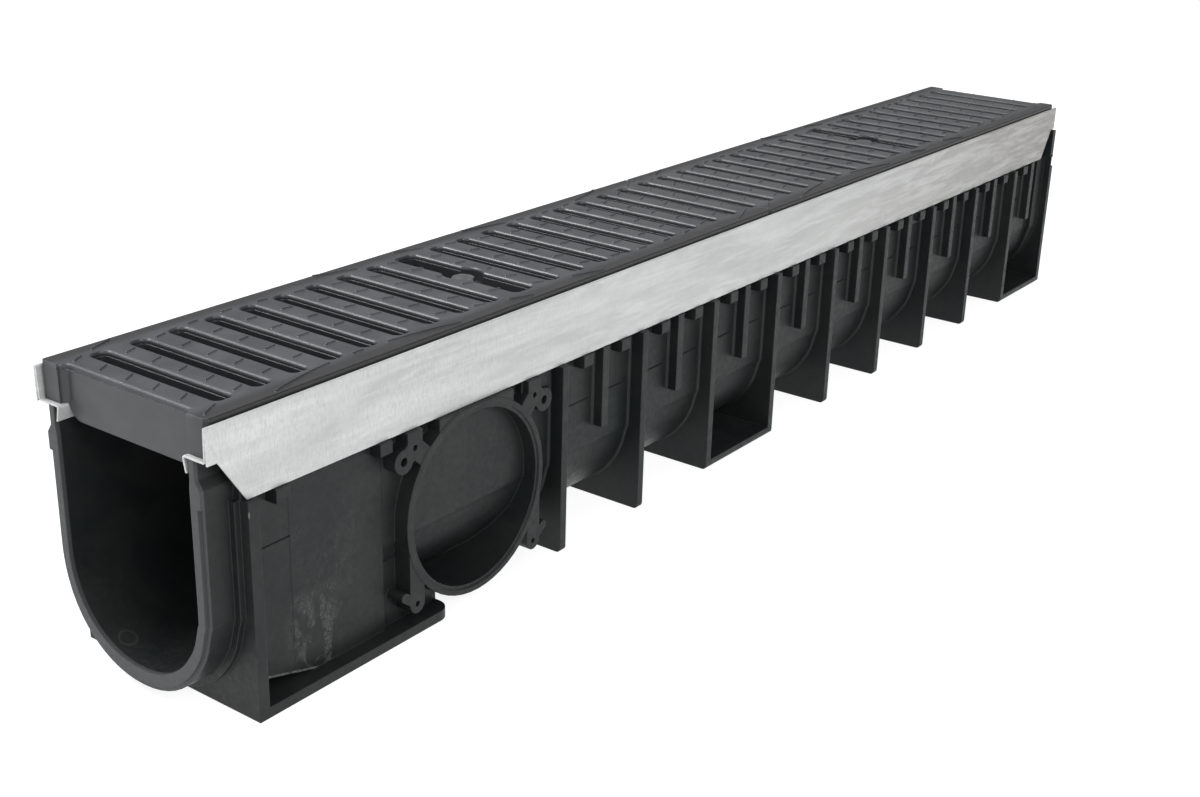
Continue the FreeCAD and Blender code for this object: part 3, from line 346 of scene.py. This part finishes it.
def lock_steel():
    # Dull zinc-plated fasteners, with a painted highlight along their edges.
    material, tree, shader = new_material("lock_steel")
    patches = noise(tree, 220, detail=4, roughness=0.65)
    share = spread(tree, patches, 0.35, 0.7)
    color = blend_colors(tree, share, LOCK_DARK, LOCK_PALE)
    # Painted highlight along the edges.
    edge_highlight = multiply(tree, edge_mask(tree, 0.0004), 0.4)
    color = blend_colors(tree, edge_highlight, color, LOCK_EDGE_HIGHLIGHT)
    tree.links.new(color, shader.inputs["Base Color"])
    tree.links.new(spread(tree, patches, 0.3, 0.7, 0.36, 0.55), shader.inputs["Roughness"])
    shader.inputs["Metallic"].default_value = 0.6
    surface_normal(tree, shader, 0.0004, patches, 0.08, 0.0002)
    return material


def dress(frame):
    # Every node takes the material of its slot.
    made = {}
    makers = {"trough_plastic": trough_plastic, "grating_plastic": grating_plastic}
    makers.update({"galvanised_sheet": galvanised_sheet, "lock_steel": lock_steel})
    for part in frame["record"]["subparts"]:
        node = frame["nodes"][part["node"]]
        slot = part["material_slot"]
        if slot not in made:
            made[slot] = makers[slot]()
        if not node.material_slots:
            node.data.materials.append(made[slot])
        for entry in node.material_slots:
            entry.material = made[slot]


def make_floor():
    # A pale floor, which rays from the camera and from glossy surfaces see as near white.
    mesh = bpy.data.meshes.new("floor")
    half = FLOOR_HALF_SIZE
    corners = [(-half, -half, 0), (half, -half, 0), (half, half, 0), (-half, half, 0)]
    mesh.from_pydata(corners, [], [(0, 1, 2, 3)])
    floor = bpy.data.objects.new("floor", mesh)
    bpy.context.scene.collection.objects.link(floor)
    floor.location.z = -FLOOR_DROP
    material = bpy.data.materials.new("floor")
    material.use_nodes = True
    tree = material.node_tree
    tree.nodes.clear()
    output = tree.nodes.new("ShaderNodeOutputMaterial")
    paper = add(tree, "ShaderNodeBsdfDiffuse", values={"Color": (0.80, 0.80, 0.80, 1)})
    glow = add(tree, "ShaderNodeEmission", values={"Color": (1, 1, 1, 1), "Strength": 0.86})
    dim_paper = add(tree, "ShaderNodeBsdfDiffuse", values={"Color": (0.30, 0.30, 0.30, 1)})
    seen = tree.nodes.new("ShaderNodeAddShader")
    tree.links.new(dim_paper.outputs[0], seen.inputs[0])
    tree.links.new(glow.outputs[0], seen.inputs[1])
    path = tree.nodes.new("ShaderNodeLightPath")
    ray = math_node(tree, "MAXIMUM", path.outputs["Is Camera Ray"], path.outputs["Is Glossy Ray"])
    ray = math_node(tree, "MAXIMUM", ray, path.outputs["Is Transmission Ray"])
    mix = tree.nodes.new("ShaderNodeMixShader")
    tree.links.new(ray, mix.inputs[0])
    tree.links.new(paper.outputs[0], mix.inputs[1])
    tree.links.new(seen.outputs[0], mix.inputs[2])
    tree.links.new(mix.outputs[0], output.inputs["Surface"])
    mesh.materials.append(material)


def make_world():
    # A soft room, darker toward the horizon.
    world = bpy.data.worlds.new("world")
    world.use_nodes = True
    bpy.context.scene.world = world
    tree = world.node_tree
    tree.nodes.clear()
    output = tree.nodes.new("ShaderNodeOutputWorld")
    background = tree.nodes.new("ShaderNodeBackground")
    coordinates = tree.nodes.new("ShaderNodeTexCoord")
    parts = tree.nodes.new("ShaderNodeSeparateXYZ")
    tree.links.new(coordinates.outputs["Generated"], parts.inputs[0])
    level = spread(tree, parts.outputs["Z"], 0.0, 0.75, 0.16, 0.62)
    path = tree.nodes.new("ShaderNodeLightPath")
    level = math_node(tree, "MAXIMUM", level, path.outputs["Is Camera Ray"])
    background.inputs["Color"].default_value = (1, 1, 1, 1)
    tree.links.new(level, background.inputs["Strength"])
    tree.links.new(background.outputs[0], output.inputs["Surface"])


def make_light(name, place, target, width, height, power):
    # A rectangular lamp that faces the target. The power is in watts.
    data = bpy.data.lights.new(name, "AREA")
    data.shape = "RECTANGLE"
    data.size = width
    data.size_y = height
    data.energy = power
    light = bpy.data.objects.new(name, data)
    bpy.context.scene.collection.objects.link(light)
    light.location = place
    aim = Vector(target) - Vector(place)
    light.rotation_euler = aim.to_track_quat("-Z", "Y").to_euler()


def make_camera():
    # The camera at the photograph's angle, as its place and its three axes.
    data = bpy.data.cameras.new("camera")
    data.sensor_width = 36.0
    data.lens = 48.973
    data.clip_start = 0.01
    data.clip_end = 100.0
    camera = bpy.data.objects.new("camera", data)
    bpy.context.scene.collection.objects.link(camera)
    right = (0.5977030, -0.8012527, 0.0272992)
    up = (0.2798872, 0.2404513, 0.9294334)
    back = (-0.7512751, -0.5478844, 0.3679788)
    place = (-0.946836, -0.611991, 0.456384)
    rows = [(right[i], up[i], back[i], place[i]) for i in range(3)]
    camera.matrix_world = Matrix(rows + [(0, 0, 0, 1)])
    bpy.context.scene.camera = camera


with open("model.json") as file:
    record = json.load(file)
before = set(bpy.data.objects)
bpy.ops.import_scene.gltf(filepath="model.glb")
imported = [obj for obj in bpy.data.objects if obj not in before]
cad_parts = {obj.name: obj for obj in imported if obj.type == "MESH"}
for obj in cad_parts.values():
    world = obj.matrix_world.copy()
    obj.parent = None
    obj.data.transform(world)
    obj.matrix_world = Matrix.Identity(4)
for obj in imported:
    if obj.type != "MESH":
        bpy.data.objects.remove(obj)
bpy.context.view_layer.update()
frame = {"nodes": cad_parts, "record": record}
make_camera()
dress(frame)
make_floor()
make_world()
make_light("key", (-1.1, -2.6, 1.7), (0.0, 0.0, 0.08), 1.8, 1.4, 52)
make_light("end_fill", (-2.6, -0.6, 1.1), (-0.3, 0.0, 0.08), 1.4, 1.2, 7)
make_light("behind", (-1.3, 1.65, 2.35), (-0.15, 0.0, 0.16), 1.5, 0.7, 72)
make_light("top", (0.4, 0.6, 2.6), (0.0, 0.0, 0.1), 1.6, 1.2, 12)

bpy.context.scene.view_settings.view_transform = "Standard"
